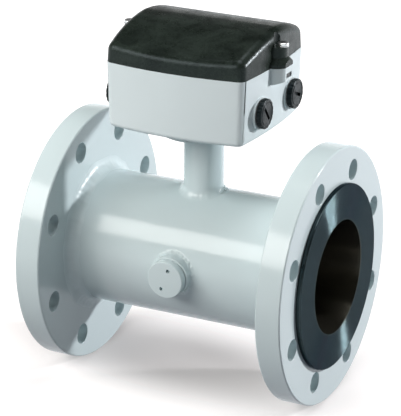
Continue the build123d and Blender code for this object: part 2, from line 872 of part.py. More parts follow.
for name, right in {"left": -1, "right": 1}.items():
    nodes[f"lid_screw_{name}"] = lid_screw(right)
    nodes[f"lid_washer_{name}"] = lid_washer(right)
    nodes[f"captive_nut_{name}"] = captive_nut(right)
    for place_name, place in {"front": -entry_y, "back": entry_y}.items():
        nodes[f"plug_{name}_{place_name}"] = plug(right, place)
        nodes[f"plug_seal_{name}_{place_name}"] = plug_seal_ring(right, place)

os.makedirs("parts", exist_ok=True)
for name, shape in nodes.items():
    export_step(shape, f"parts/{name}.step")
print(len(nodes), "nodes written")
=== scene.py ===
import json
import math

import bpy
from mathutils import Matrix, Vector
from mathutils import noise as mathutils_noise
from mathutils.geometry import tessellate_polygon

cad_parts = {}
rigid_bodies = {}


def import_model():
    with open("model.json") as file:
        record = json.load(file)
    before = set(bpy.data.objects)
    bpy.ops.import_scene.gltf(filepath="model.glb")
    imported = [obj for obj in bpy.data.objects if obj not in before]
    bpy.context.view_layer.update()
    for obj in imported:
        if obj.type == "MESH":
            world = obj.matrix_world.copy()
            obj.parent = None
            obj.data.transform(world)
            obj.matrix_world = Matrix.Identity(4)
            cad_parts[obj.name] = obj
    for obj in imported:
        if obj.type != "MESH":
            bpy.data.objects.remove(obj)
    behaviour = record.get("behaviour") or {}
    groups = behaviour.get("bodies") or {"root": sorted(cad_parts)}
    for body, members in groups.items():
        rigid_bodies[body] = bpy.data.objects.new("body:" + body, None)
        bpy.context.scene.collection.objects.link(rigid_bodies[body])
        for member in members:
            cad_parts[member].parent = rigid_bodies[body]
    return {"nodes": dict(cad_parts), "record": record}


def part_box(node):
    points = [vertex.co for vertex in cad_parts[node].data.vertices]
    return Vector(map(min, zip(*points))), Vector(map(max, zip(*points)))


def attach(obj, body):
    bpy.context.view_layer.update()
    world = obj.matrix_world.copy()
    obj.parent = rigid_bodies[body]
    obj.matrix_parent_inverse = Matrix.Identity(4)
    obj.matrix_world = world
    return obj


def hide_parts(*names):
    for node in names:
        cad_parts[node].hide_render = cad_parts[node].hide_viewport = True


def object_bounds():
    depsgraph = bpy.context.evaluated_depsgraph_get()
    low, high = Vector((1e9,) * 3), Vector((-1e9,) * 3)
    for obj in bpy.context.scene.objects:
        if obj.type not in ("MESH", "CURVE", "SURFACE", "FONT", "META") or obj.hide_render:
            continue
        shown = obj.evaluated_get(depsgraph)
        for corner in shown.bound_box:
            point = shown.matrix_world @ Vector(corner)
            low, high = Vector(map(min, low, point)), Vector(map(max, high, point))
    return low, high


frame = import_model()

nodes = frame["nodes"]
cad_low, cad_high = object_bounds()

# Camera, solved from the photograph
CAMERA_PLACE = (0.826415, -1.708323, 0.757371)
CAMERA_RIGHT = (0.89800, 0.43990, 0.00934)
CAMERA_UP = (-0.16352, 0.31396, 0.93525)
CAMERA_BACK = (0.40849, -0.84138, 0.35387)
LENS = 207.43
SENSOR_WIDTH = 36.0

FLOOR_Z = cad_low[2]


def linear(red, green, blue):
    """A colour written in the usual 0 to 255 steps, as shader values."""
    steps = [value / 255 for value in (red, green, blue)]
    return tuple(((s + 0.055) / 1.055) ** 2.4 if s > 0.04045 else s / 12.92 for s in steps)


# Materials

class Nodes:
    """A short way to build one material's nodes."""

    def __init__(self, name, tree=None):
        if tree:
            self.tree = tree
        else:
            self.material = bpy.data.materials.new(name)
            self.material.use_nodes = True
            self.tree = self.material.node_tree
            self.shader = self.tree.nodes["Principled BSDF"]
        place = self.add("ShaderNodeTexCoord")
        self.place = place.outputs["Object"]
        self.generated = place.outputs["Generated"]

    def add(self, kind, **settings):
        node = self.tree.nodes.new(kind)
        for key, value in settings.items():
            setattr(node, key, value)
        return node

    def link(self, out, into):
        self.tree.links.new(out, into)

    def set(self, **values):
        for key, value in values.items():
            socket = self.shader.inputs[key.replace("_", " ")]
            socket.default_value = (*value, 1) if isinstance(value, tuple) else value

    def noise(self, scale, detail=2.0, rough=0.5, source=None, distort=0.0):
        node = self.add("ShaderNodeTexNoise")
        node.inputs["Scale"].default_value = scale
        node.inputs["Detail"].default_value = detail
        node.inputs["Roughness"].default_value = rough
        node.inputs["Distortion"].default_value = distort
        self.link(source or self.place, node.inputs["Vector"])
        return node.outputs["Fac"]

    def stretched(self, x, y, z):
        node = self.add("ShaderNodeMapping")
        node.inputs["Scale"].default_value = (x, y, z)
        self.link(self.place, node.inputs["Vector"])
        return node.outputs["Vector"]

    def oval(self, centre, turn, reach):
        """Coordinates that are 1 long on the rim of an oval on the floor."""
        node = self.add("ShaderNodeMapping", vector_type="TEXTURE")
        node.inputs["Location"].default_value = centre
        node.inputs["Rotation"].default_value = (0, 0, turn)
        node.inputs["Scale"].default_value = (*reach, 1)
        self.link(self.place, node.inputs["Vector"])
        return node.outputs["Vector"]

    def distance(self, source):
        node = self.add("ShaderNodeVectorMath", operation="LENGTH")
        self.link(source, node.inputs[0])
        return node.outputs["Value"]

    def ramp(self, source, low, high, start=0.3, end=0.7, smooth=False):
        """Maps a source between start and end to numbers or colours between low and high."""
        if isinstance(low, tuple):
            node = self.add("ShaderNodeValToRGB")
            node.color_ramp.elements[0].position = start
            node.color_ramp.elements[1].position = end
            node.color_ramp.elements[0].color = (*low, 1)
            node.color_ramp.elements[1].color = (*high, 1)
            self.link(source, node.inputs["Fac"])
            return node.outputs["Color"]
        node = self.add("ShaderNodeMapRange", interpolation_type="SMOOTHSTEP" if smooth else "LINEAR")
        for key, value in (("From Min", start), ("From Max", end), ("To Min", low), ("To Max", high)):
            node.inputs[key].default_value = value
        self.link(source, node.inputs["Value"])
        return node.outputs["Result"]

    def math(self, operation, first, second=0.0):
        node = self.add("ShaderNodeMath", operation=operation)
        for number, value in enumerate((first, second)):
            if isinstance(value, (int, float)):
                node.inputs[number].default_value = value
            else:
                self.link(value, node.inputs[number])
        return node.outputs["Value"]

    def colour(self, out):
        self.link(out, self.shader.inputs["Base Color"])

    def roughness(self, out):
        self.link(out, self.shader.inputs["Roughness"])

    def bump(self, height, depth, strength=1.0, before=None):
        node = self.add("ShaderNodeBump")
        node.inputs["Distance"].default_value = depth
        node.inputs["Strength"].default_value = strength
        self.link(height, node.inputs["Height"])
        if before:
            self.link(before, node.inputs["Normal"])
        self.link(node.outputs["Normal"], self.shader.inputs["Normal"])
        return node.outputs["Normal"]


def paint(name, low, high):
    """Glossy pale grey-green enamel with a faint orange peel."""
    m = Nodes(name)
    m.colour(m.ramp(m.noise(7, 2), linear(201, 215, 217), linear(205, 219, 221)))
    m.roughness(m.ramp(m.noise(60, 3), low, high))
    m.set(Specular_IOR_Level=0.42)
    m.bump(m.noise(420, 2), 0.00002, 0.5)
    return m.material


MOULDED_GRAIN = 1500
MOULDED_DEPTH = 0.00004
SEAM_COLOUR = linear(64, 70, 74)


def moulded(name, low, high, rough, specular=0.5, seam=None):
    """Moulded plastic with a fine grain, and a dark seam where a mask is given."""
    m = Nodes(name)
    plain = m.ramp(m.noise(14, 5), low, high)
    if seam:
        mix = m.add("ShaderNodeMix", data_type="RGBA")
        m.link(seam(m), mix.inputs["Factor"])
        m.link(plain, mix.inputs["A"])
        mix.inputs["B"].default_value = (*SEAM_COLOUR, 1)
        plain = mix.outputs["Result"]
    m.colour(plain)
    m.roughness(m.ramp(m.noise(90, 4), rough - 0.05, rough + 0.06))
    m.set(Specular_IOR_Level=specular)
    fine = m.bump(m.noise(MOULDED_GRAIN, 2, 0.6), MOULDED_DEPTH, 0.8)
    m.bump(m.noise(35, 3), 0.0002, 0.3, fine)
    return m.material


SEAM_PLACE = 0.05435
SEAM_HALF = 0.00032
SEAM_BLUR = 0.00008
SEAM_LOW = 0.150
SEAM_FADE = 0.004
SEAM_OUTSIDE = 0.0600


def panel_seam(m):
    """The dark joint beside the raised panel on each end of the box, down to half its height."""
    split = m.add("ShaderNodeSeparateXYZ")
    m.link(m.place, split.inputs["Vector"])
    across = m.math("ABSOLUTE", split.outputs["Y"])
    aside = m.math("ABSOLUTE", m.math("SUBTRACT", across, SEAM_PLACE))
    near = m.ramp(aside, 1.0, 0.0, SEAM_HALF, SEAM_HALF + SEAM_BLUR)
    high = m.ramp(split.outputs["Z"], 0.0, 1.0, SEAM_LOW - SEAM_FADE, SEAM_LOW)
    outside = m.math("GREATER_THAN", m.math("ABSOLUTE", split.outputs["X"]), SEAM_OUTSIDE)
    return m.math("MULTIPLY", m.math("MULTIPLY", near, high), outside)


def grained(name, low, high, rough, specular, turned=0.0):
    """Dark moulded plastic with a coarse grain; a turned one shines across its turning marks."""
    m = Nodes(name)
    cloud = m.noise(38, 5, 0.62, distort=0.6)
    speck = m.noise(800, 3, 0.65)
    uneven = m.math("ADD", m.math("MULTIPLY", cloud, 0.6), m.math("MULTIPLY", speck, 0.4))
    m.colour(m.ramp(uneven, low, high, 0.4, 0.62))
    m.roughness(m.ramp(m.noise(120, 4, 0.6), rough - 0.06, rough + 0.1))
    m.set(Specular_IOR_Level=specular, Specular_Tint=(0.78, 0.93, 1.0), Anisotropic=turned,
          Anisotropic_Rotation=0.25)
    if turned:
        turning = m.add("ShaderNodeTangent", direction_type="RADIAL", axis="X")
        m.link(turning.outputs["Tangent"], m.shader.inputs["Tangent"])
    grain = m.bump(speck, 0.0001, 0.9)
    m.bump(cloud, 0.0006, 0.5, grain)
    return m.material


BORE_RADIUS = 0.0490
BORE_BLEND = 0.001
BORE_COLOUR = linear(88, 86, 77)
GROOVE_PITCH = 0.0009
GROOVE_DEPTH = 0.000098
STREAKS_ACROSS = 12.0


def rubber():
    """Turned hard rubber: fine rings whose shine runs outwards, and a smooth, browner bore."""
    m = Nodes("liner_rubber")
    split = m.add("ShaderNodeSeparateXYZ")
    m.link(m.place, split.inputs["Vector"])
    y, z = split.outputs["Y"], split.outputs["Z"]
    radius = m.math("SQRT", m.math("ADD", m.math("MULTIPLY", y, y), m.math("MULTIPLY", z, z)))
    angle = m.math("ARCTAN2", z, y)
    polar = m.add("ShaderNodeCombineXYZ")
    m.link(m.math("MULTIPLY", radius, STREAKS_ACROSS), polar.inputs["X"])
    m.link(m.math("COSINE", angle), polar.inputs["Y"])
    m.link(m.math("SINE", angle), polar.inputs["Z"])
    streak = m.noise(14, 5, 0.7, polar.outputs["Vector"])
    shade = m.add("ShaderNodeMix", data_type="RGBA")
    outside = m.ramp(radius, 0.0, 1.0, BORE_RADIUS - BORE_BLEND, BORE_RADIUS + BORE_BLEND)
    m.link(outside, shade.inputs["Factor"])
    shade.inputs["A"].default_value = (*BORE_COLOUR, 1)
    m.link(m.ramp(streak, linear(44, 53, 54), linear(57, 68, 71), 0.35, 0.7), shade.inputs["B"])
    m.colour(shade.outputs["Result"])
    m.roughness(m.ramp(streak, 0.15, 0.25))
    m.set(Metallic=0.82, Anisotropic=0.62, Anisotropic_Rotation=0.25, Specular_IOR_Level=0.15,
          Specular_Tint=(0.28, 0.33, 0.36))
    turning = m.add("ShaderNodeTangent", direction_type="RADIAL", axis="X")
    m.link(turning.outputs["Tangent"], m.shader.inputs["Tangent"])
    grooves = m.math("SINE", m.math("MULTIPLY", radius, 2 * math.pi / GROOVE_PITCH))
    m.bump(m.math("MULTIPLY", grooves, outside), GROOVE_DEPTH)
    return m.material


def plain_rubber():
    """Matt dark rubber of the seals and gaskets."""
    m = Nodes("seal_rubber")
    m.colour(m.ramp(m.noise(60, 3), linear(40, 41, 42), linear(56, 57, 58)))
    m.roughness(m.ramp(m.noise(120, 3), 0.55, 0.7))
    m.bump(m.noise(700, 2), 0.00003, 0.6)
    return m.material


MARKS_SCALE = (60, 60, 900)


def metal(name, low, high, rough):
    """Machined or plated metal with directional marks."""
    m = Nodes(name)
    marks = m.noise(1.0, 4, 0.6, m.stretched(*MARKS_SCALE))
    m.colour(m.ramp(marks, low, high))
    m.roughness(m.ramp(marks, rough - 0.08, rough + 0.1))
    m.set(Metallic=1.0)
    m.bump(marks, 0.00002, 0.5)
    return m.material


WIRE_WAVE = 9000.0


def copper():
    """Enamelled wire, wound along the pipe, with the winding's wave in radians per metre; darker between
    turns as painted shade.
    """
    m = Nodes("copper_winding")
    split = m.add("ShaderNodeSeparateXYZ")
    m.link(m.place, split.inputs["Vector"])
    turns = m.math("SINE", m.math("MULTIPLY", split.outputs["Y"], WIRE_WAVE))
    # Painted shade: the copper is darker in the grooves between turns and lighter on their crests.
    m.colour(m.ramp(turns, linear(112, 48, 26), linear(196, 104, 62), -0.6, 0.8))
    m.roughness(m.ramp(m.noise(80, 3), 0.28, 0.42))
    m.set(Metallic=0.85)
    m.bump(turns, 0.0002, 0.6)
    return m.material


BOARD_TRACKS = {"Scale": 160.0, "Mortar Size": 0.012, "Brick Width": 1.7, "Row Height": 0.3}


def board():
    """Green solder resist with faint copper tracks under it."""
    m = Nodes("board")
    tracks = m.add("ShaderNodeTexBrick")
    for key, value in BOARD_TRACKS.items():
        tracks.inputs[key].default_value = value
    m.link(m.place, tracks.inputs["Vector"])
    m.colour(m.ramp(tracks.outputs["Fac"], linear(22, 92, 52), linear(44, 128, 74)))
    m.roughness(m.ramp(m.noise(200, 2), 0.3, 0.42))
    m.bump(tracks.outputs["Fac"], 0.00005, 0.5)
    return m.material


MATERIALS = {
    "body_paint": paint("paint", 0.14, 0.19),
    "weld_paint": paint("weld_paint", 0.3, 0.38),
    "box_plastic": moulded("box_plastic", linear(215, 226, 228), linear(220, 231, 233), 0.42,
                           specular=0.22, seam=panel_seam),
    "lid_plastic": grained("lid_plastic", linear(19, 25, 21), linear(43, 51, 46), 0.28, 0.15),
    "plug_plastic": grained("plug_plastic", linear(11, 18, 19), linear(22, 31, 33), 0.3, 0.14,
                            turned=0.9),
    "liner_rubber": rubber(),
    "seal_rubber": plain_rubber(),
    "stainless": metal("stainless", linear(176, 176, 172), linear(206, 206, 203), 0.3),
    "zinc_screw": metal("zinc_screw", linear(188, 190, 190), linear(226, 228, 228), 0.28),
    # Dark grey metal for the captive nuts, as painted shade of the window they sit in.
    "dark_nut": metal("dark_nut", linear(44, 46, 46), linear(84, 86, 86), 0.42),
    "magnet_steel": metal("magnet_steel", linear(74, 75, 78), linear(104, 104, 106), 0.45),
    "copper_winding": copper(),
    "insulator": moulded("insulator", linear(226, 224, 216), linear(238, 237, 230), 0.5),
    "board": board(),
    "terminal_plastic": moulded("terminal_plastic", linear(64, 122, 84), linear(78, 138, 98), 0.42),
    "module_plastic": moulded("module_plastic", linear(54, 55, 60), linear(70, 71, 76), 0.4),
    "wire_insulation": moulded("wire_insulation", linear(150, 150, 152), linear(172, 172, 174), 0.45),
}
SLOT_OF = {part["node"]: part["material_slot"] for part in frame["record"]["subparts"]}


def dress(obj, slot):
    """Gives an object one material only."""
    obj.data.materials.clear()
    obj.data.materials.append(MATERIALS[slot])


MERGE_REACH = 0.000002
EDGE_SEGMENTS = 2
EDGE_ANGLE = 30.0
EDGE_WIDTH = 0.0002
WIDER_EDGES = {"terminal_box": 0.0004, "lid": 0.0004, "liner": 0.0003,
               "flange_inlet": 0.0003, "flange_outlet": 0.0003}


def soften(obj, width):
    """Joins split vertices and rounds the sharp edges of a CAD node."""
    for polygon in obj.data.polygons:
        polygon.use_smooth = True
    weld = obj.modifiers.new("weld", "WELD")
    weld.merge_threshold = MERGE_REACH
    bevel = obj.modifiers.new("edges", "BEVEL")
    bevel.width = width
    bevel.segments = EDGE_SEGMENTS
    bevel.limit_method = "ANGLE"
    bevel.angle_limit = math.radians(EDGE_ANGLE)
    bevel.use_clamp_overlap = True
    flat = obj.modifiers.new("normals", "WEIGHTED_NORMAL")
    flat.keep_sharp = True


for name, node in nodes.items():
    # Captive nuts get a dark metal that stands for the shade in their window, instead of their slot's
    # material.
    dress(node, "dark_nut" if name.startswith("captive_nut") else SLOT_OF[name])
    soften(node, WIDER_EDGES.get(name, EDGE_WIDTH))


# Pieces of a finer shape than the CAD nodes, written in millimetres

MM = 0.001
SHARP_ANGLE = 35.0


def add_piece(name, points, faces, slot, body, hides=()):
    """Links one mesh as a piece that rides on a body and stands for the nodes it hides."""
    mesh = bpy.data.meshes.new(name)
    mesh.from_pydata([tuple(value * MM for value in point) for point in points], [], faces)
    mesh.validate()
    mesh.update()
    obj = bpy.data.objects.new(name, mesh)
    bpy.context.scene.collection.objects.link(obj)
    for polygon in mesh.polygons:
        polygon.use_smooth = True
    mesh.set_sharp_from_angle(angle=math.radians(SHARP_ANGLE))
    dress(obj, "weld_paint" if name.startswith("bead_flange") else slot)
    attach(obj, body)
    if hides:
        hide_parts(*hides)


def body_of(node):
    """The name of the body that a CAD node belongs to."""
    return nodes[node].parent.name.split(":")[1]


def loops_to_faces(loops, count, closed=False):
    """Quads between loops of count points each, the last back to the first when closed."""
    faces = []
    for row in range(loops if closed else loops - 1):
        low, high = row * count, (row + 1) % loops * count
        for step in range(count):
            after = (step + 1) % count
            faces.append((low + step, low + after, high + after, high + step))
    return faces


def wave(position):
    """A smooth uneven value between about -1 and 1, the same in each run."""
    return 2.0 * mathutils_noise.noise(Vector(position))


# Welds

PIPE_RADIUS = 57.15
PIPE_WALL = 3.0
FLANGE_BACK = 99.0
NECK_RADIUS = 16.85
BOSS_RADIUS = 17.25
BEAD_STEPS = 12
BEAD_ROOT = 0.6
UNEVEN_REACH = 9
SIZE_WANDER = 0.07
RIPPLE_BOW = 0.35
RIPPLE_WANDER = 0.3
RIPPLE_SHARE = 0.6
LUMP_SHARE = 0.9


def bead(place_of, radius, leg, ripple, pitch, count, lumps=None):
    """A hollow weld bead round a loop: place_of(angle, out, up) gives each point's place."""
    points = []
    for turn in range(count):
        angle = 2 * math.pi * turn / count
        arc = angle * radius
        around = (math.cos(angle) * radius / UNEVEN_REACH, math.sin(angle) * radius / UNEVEN_REACH)
        size = leg * (1 + SIZE_WANDER * wave((*around, 0.0)))
        for step in range(BEAD_STEPS + 1):
            slope = math.pi / 2 * step / BEAD_STEPS
            middle = math.sin(2 * slope)
            phase = arc / pitch + RIPPLE_BOW * middle + RIPPLE_WANDER * wave((*around, 3.0))
            ripples = RIPPLE_SHARE * math.cos(2 * math.pi * phase)
            lift = middle * ripple * (ripples + LUMP_SHARE * wave((*around, 7.0 + step / 5)))
            if lumps:
                lift += middle * lumps(angle, step)
            out = size * (1 - math.cos(slope)) + lift
            up = size * (1 - math.sin(slope)) + lift
            points.append(place_of(angle, out, up))
        points.append(place_of(angle, -BEAD_ROOT, -BEAD_ROOT))
    return points, loops_to_faces(count, BEAD_STEPS + 2, closed=True)


def flange_bead(node):
    """The long smooth weld between a flange and the housing pipe."""
    end = 1 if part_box(node)[0][0] > 0 else -1

    def place(angle, out, up):
        radius = PIPE_RADIUS + out
        return end * (FLANGE_BACK - up), radius * math.cos(angle), radius * math.sin(angle)

    points, faces = bead(place, PIPE_RADIUS, leg=10.0, ripple=0.1, pitch=6.5, count=540)
    add_piece("bead_" + node, points, faces, "body_paint", "meter", [node])


def pipe_height(across):
    """How high the housing pipe's outside is, seen from its axis, at a distance across it."""
    return math.sqrt(PIPE_RADIUS ** 2 - across ** 2)


NECK_LUMP = 1.1
NECK_LUMP_PLACE = 0.2
NECK_LUMP_WIDTH = 0.45


def neck_bead():
    """The rough weld of the neck on the housing pipe, with one lumpy stretch."""
    def place(angle, out, up):
        radius = NECK_RADIUS + out
        x, y = radius * math.cos(angle), radius * math.sin(angle)
        return x, y, pipe_height(y) + up

    def lumps(angle, step):
        near = math.exp(-(math.remainder(angle - NECK_LUMP_PLACE, 2 * math.pi) / NECK_LUMP_WIDTH) ** 2)
        return near * NECK_LUMP * abs(wave((angle * 9, step / 3, 1.0)))

    points, faces = bead(place, NECK_RADIUS, leg=5.5, ripple=0.1, pitch=4.4, count=300, lumps=lumps)
    add_piece("bead_neck", points, faces, "body_paint", "meter", ["neck_weld"])


BOSS_LUMP = 0.35


def boss_bead(node, side):
    """The weld of an electrode boss on the housing pipe, with small lumps all round."""
    def place(angle, out, up):
        radius = BOSS_RADIUS + out
        x, z = radius * math.cos(angle), radius * math.sin(angle)
        return x, side * (pipe_height(z) + up), z

    def lumps(angle, step):
        return BOSS_LUMP * max(0.0, wave((math.cos(angle) * 8, math.sin(angle) * 8, step / 4)))

    points, faces = bead(place, BOSS_RADIUS, leg=3.2, ripple=0.14, pitch=3.4, count=300, lumps=lumps)
    add_piece("bead_" + node, points, faces, "body_paint", "meter", [node])


for name in ("flange_weld_inlet", "flange_weld_outlet"):
    flange_bead(name)
neck_bead()
for name, side in (("boss_weld_front", -1), ("boss_weld_back", 1)):
    boss_bead(name, side)


PIPE_ROUND = 256
PIPE_LENGTHS = 24


def pipe_skin():
    """The housing pipe again, with an evenly divided round."""
    low_x, high_x = (corner[0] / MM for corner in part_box("housing_pipe"))
    stations = [low_x + (high_x - low_x) * step / PIPE_LENGTHS for step in range(PIPE_LENGTHS + 1)]
    inner = PIPE_RADIUS - PIPE_WALL
    rings = [(x, PIPE_RADIUS) for x in stations] + [(x, inner) for x in reversed(stations)]
    points = []
    for x, radius in rings:
        for step in range(PIPE_ROUND):
            angle = 2 * math.pi * step / PIPE_ROUND
            points.append((x, radius * math.cos(angle), radius * math.sin(angle)))
    faces = loops_to_faces(len(rings), PIPE_ROUND, closed=True)
    add_piece("pipe_skin", points, faces, "body_paint", "meter", ["housing_pipe"])


pipe_skin()


# Screwed pieces

def rectangle(length, width, angle):
    """The corners of a rectangle round the axis, turned by an angle."""
    corners = [(right * length / 2, up * width / 2) for right, up in ((1, 1), (-1, 1), (-1, -1), (1, -1))]
    sine, cosine = math.sin(angle), math.cos(angle)
    return [(x * cosine - y * sine, x * sine + y * cosine) for x, y in corners]


def circle(x, y, radius, count):
    """The points of a round outline."""
    angles = [2 * math.pi * step / count for step in range(count)]
    return [(x + radius * math.cos(angle), y + radius * math.sin(angle)) for angle in angles]


CENTRE_RADIUS = 1.0
UNDER_CHAMFER = 0.3
THREAD_RUNOUT = 0.8
THREAD_CREST_SHARE = 0.15
THREAD_FLANK_SHARE = 0.7


def thread_loops(low, high, crest, depth, pitch, steps=10):
    """Heights and radius rules of a threaded length, run out at both ends."""
    loops = []
    for number in range(int((high - low) / pitch * steps) + 1):
        height = low + number * pitch / steps
        near = min(height - low, high - height) / pitch
        full = min(1.0, max(0.0, near / THREAD_RUNOUT))

        def radius(angle, height=height, full=full):
            phase = abs((height / pitch - angle / (2 * math.pi)) % 1.0 - 0.5) * 2
            cut = min(1.0, max(0.0, (phase - THREAD_CREST_SHARE) / THREAD_FLANK_SHARE))
            return crest - depth * (1 - full + full * cut)
        loops.append((height, radius))
    return loops


def close_top(points, faces, count, holes):
    """Closes the last ring of points with a flat face, cut by pockets of an outline and a depth."""
    first = len(points) - count
    top = points[first][2]
    rims = [list(range(first, len(points)))]
    for outline, depth in holes:
        rim = list(range(len(points), len(points) + len(outline)))
        points += [(x, y, top) for x, y in outline] + [(x, y, top - depth) for x, y in outline]
        for step, number in enumerate(rim):
            after = rim[(step + 1) % len(rim)]
            faces.append((number, after, after + len(outline), number + len(outline)))
        faces.append(tuple(number + len(outline) for number in rim))
        rims.append(list(reversed(rim)))
    flat = [number for rim in rims for number in rim]
    shapes = [[Vector((*points[number][:2], 0.0)) for number in rim] for rim in rims]
    for corners in tessellate_polygon(shapes):
        corner_points = [Vector(points[flat[number]]) for number in corners]
        normal = (corner_points[1] - corner_points[0]).cross(corner_points[2] - corner_points[0])
        order = corners if normal.z > 0 else tuple(reversed(corners))
        faces.append(tuple(flat[number] for number in order))


def screwed(name, node, loops, holes, frame_axes, origin, slot, count):
    """A turned piece from loops of (height, radius), closed below and cut by holes on top."""
    points = []
    for height, radius in loops:
        for step in range(count):
            angle = 2 * math.pi * step / count
            reach = radius(angle) if callable(radius) else radius
            points.append((reach * math.cos(angle), reach * math.sin(angle), height))
    faces = loops_to_faces(len(loops), count)
    faces.append(tuple(reversed(range(count))))
    close_top(points, faces, count, holes)
    across, up, out = (Vector(axis) for axis in frame_axes)
    placed = [tuple(Vector(origin) + across * x + up * y + out * z) for x, y, z in points]
    add_piece(name, placed, faces, slot, body_of(node), [node])


# Blanking plugs: their heights run along the pipe, from the middle of the meter

PLUG_AXIS_Z = 143.0
PLUG_UNDER = 66.5
PLUG_FACE = 70.7
PLUG_SHANK = 9.0
PLUG_RIM = 12.6
PLUG_EDGE = 0.8
PLUG_EDGE_MIDDLE = 0.25
PLUG_BORE = 6.5
PLUG_CREST = 9.9
PLUG_ROOT = 9.2
PLUG_CUT = 0.75
PLUG_PITCH = 1.5
PLUG_RELIEF = 0.6
PLUG_SLOT = (14.0, 2.8)
PLUG_SLOT_DEPTH = 2.2
PLUG_TURN_FRONT = -53
PLUG_TURN_BACK = -21
PLUG_ROUND = 128
GRIPS = 16
GRIP_RADIUS = 1.0
GRIP_SHALLOWER = 0.5
RING_OUTSIDE = 10.5
RING_INSIDE = 9.1
RING_SLOPE = 0.4
RING_DEPTH = 0.35


def plug_rim(inset=0.0):
    """The rule of a plug's rim: a round with evenly spaced grip notches."""
    def rule(angle):
        step = math.remainder(angle, 2 * math.pi / GRIPS) * PLUG_RIM
        notch = math.sqrt(max(0.0, GRIP_RADIUS ** 2 - step * step)) - GRIP_SHALLOWER
        return PLUG_RIM - inset - max(0.0, notch)
    return rule


def plug_piece(node, right, place):
    """A plug with a hollow threaded shank, a notched rim and a slotted face inside a shallow ring."""
    under, face = PLUG_UNDER, PLUG_FACE
    low = under - PLUG_SHANK
    ring_floor = face - RING_DEPTH
    loops = [(under, CENTRE_RADIUS), (under, PLUG_BORE), (low, PLUG_BORE), (low, PLUG_ROOT)]
    loops += thread_loops(low, under - PLUG_RELIEF, PLUG_CREST, PLUG_CUT, PLUG_PITCH)
    loops += [(under, PLUG_ROOT), (under, plug_rim(UNDER_CHAMFER)), (under + UNDER_CHAMFER, plug_rim())]
    loops += [(face - PLUG_EDGE, plug_rim()), (face - PLUG_EDGE_MIDDLE, plug_rim(PLUG_EDGE_MIDDLE))]
    loops += [(face, plug_rim(PLUG_EDGE)), (face, RING_OUTSIDE), (ring_floor, RING_OUTSIDE - RING_SLOPE)]
    loops += [(ring_floor, RING_INSIDE + RING_SLOPE), (face, RING_INSIDE)]
    angle = math.radians(PLUG_TURN_FRONT if place < 0 else PLUG_TURN_BACK)
    slot_hole = (rectangle(*PLUG_SLOT, angle), PLUG_SLOT_DEPTH)
    axes = ((0, right, 0), (0, 0, 1), (right, 0, 0))
    screwed("turned_" + node, node, loops, [slot_hole], axes, (0, place, PLUG_AXIS_Z),
            "plug_plastic", PLUG_ROUND)


# Caps of the electrode chambers: their heights run outwards from the pipe's axis

CAP_UNDER = 66.4
CAP_FACE = 73.2
CAP_SHANK = 9.0
CAP_HOLLOW = 7
CAP_RIM = 16.0
CAP_EDGE = 0.9
CAP_BORE = 8.0
CAP_CREST = 12.5
CAP_ROOT = 11.7
CAP_CUT = 0.8
CAP_PITCH = 1.5
CAP_RELIEF = 0.7
PIN_PLACE = 8.9
PIN_RADIUS = 1.7
PIN_DEPTH = 3.0
PIN_ROUND = 20
CAP_TURN_FRONT = 70
CAP_TURN_BACK = 110
CAP_ROUND = 120


def cap_piece(node, side):
    """A cap with a hollow threaded shank, a rounded edge and two holes for a pin spanner."""
    under = CAP_UNDER
    low = under - CAP_SHANK
    floor_height = low + CAP_HOLLOW
    loops = [(floor_height, CENTRE_RADIUS), (floor_height, CAP_BORE), (low, CAP_BORE), (low, CAP_ROOT)]
    loops += thread_loops(low, under - CAP_RELIEF, CAP_CREST, CAP_CUT, CAP_PITCH)
    loops += [(under, CAP_ROOT), (under, CAP_RIM - UNDER_CHAMFER), (under + UNDER_CHAMFER, CAP_RIM)]
    for degrees in range(0, 91, 15):
        turn = math.radians(degrees)
        height = CAP_FACE - CAP_EDGE + CAP_EDGE * math.sin(turn)
        loops.append((height, CAP_RIM - CAP_EDGE + CAP_EDGE * math.cos(turn)))
    angle = math.radians(CAP_TURN_FRONT if side < 0 else CAP_TURN_BACK)
    holes = []
    for way in (1, -1):
        x, y = way * PIN_PLACE * math.cos(angle), way * PIN_PLACE * math.sin(angle)
        holes.append((circle(x, y, PIN_RADIUS, PIN_ROUND), PIN_DEPTH))
    axes = ((-side, 0, 0), (0, 0, 1), (0, side, 0))
    screwed("turned_" + node, node, loops, holes, axes, (0, 0, 0), "body_paint", CAP_ROUND)


# Lid screws

SCREW_HEAD = 4.6
SCREW_HEAD_HEIGHT = 2.5
SCREW_NECK = 2.5
SCREW_CREST = 2.95
SCREW_TIP = 2.2
SCREW_CUT = 0.5
SCREW_PITCH = 1.0
SCREW_RELIEF = 1.2
SCREW_THREAD_STEPS = 8
SCREW_EDGE_HEIGHTS = (0.9, 0.35)
SCREW_EDGE_WIDTHS = (0.2, 0.7)
SCREW_SLOT = (7.7, 1.6)
SCREW_SLOT_DEPTH = 1.4
SCREW_TURN = 65
SCREW_ROUND = 48


def screw_piece(node):
    """A lid screw with a slotted head, between the ends that its CAD node has."""
    low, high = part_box(node)
    centre = (low[0] + high[0]) / 2 / MM
    bottom, top = low[2] / MM, high[2] / MM
    under = top - SCREW_HEAD_HEIGHT
    loops = [(bottom, SCREW_TIP)]
    loops += thread_loops(bottom, under - SCREW_RELIEF, SCREW_CREST, SCREW_CUT, SCREW_PITCH,
                          SCREW_THREAD_STEPS)
    loops += [(under, SCREW_NECK), (under, SCREW_HEAD - UNDER_CHAMFER)]
    start, middle = (top - height for height in SCREW_EDGE_HEIGHTS)
    middle_radius, end_radius = (SCREW_HEAD - width for width in SCREW_EDGE_WIDTHS)
    loops += [(under + UNDER_CHAMFER, SCREW_HEAD), (start, SCREW_HEAD)]
    loops += [(middle, middle_radius), (top, end_radius)]
    slot_hole = (rectangle(*SCREW_SLOT, math.radians(SCREW_TURN)), SCREW_SLOT_DEPTH)
    axes = ((1, 0, 0), (0, 1, 0), (0, 0, 1))
    screwed("turned_" + node, node, loops, [slot_hole], axes, (centre, 0, 0), "zinc_screw", SCREW_ROUND)


# Clamp screws of the terminal blocks: their tops and feet are measured up from the wells' floor

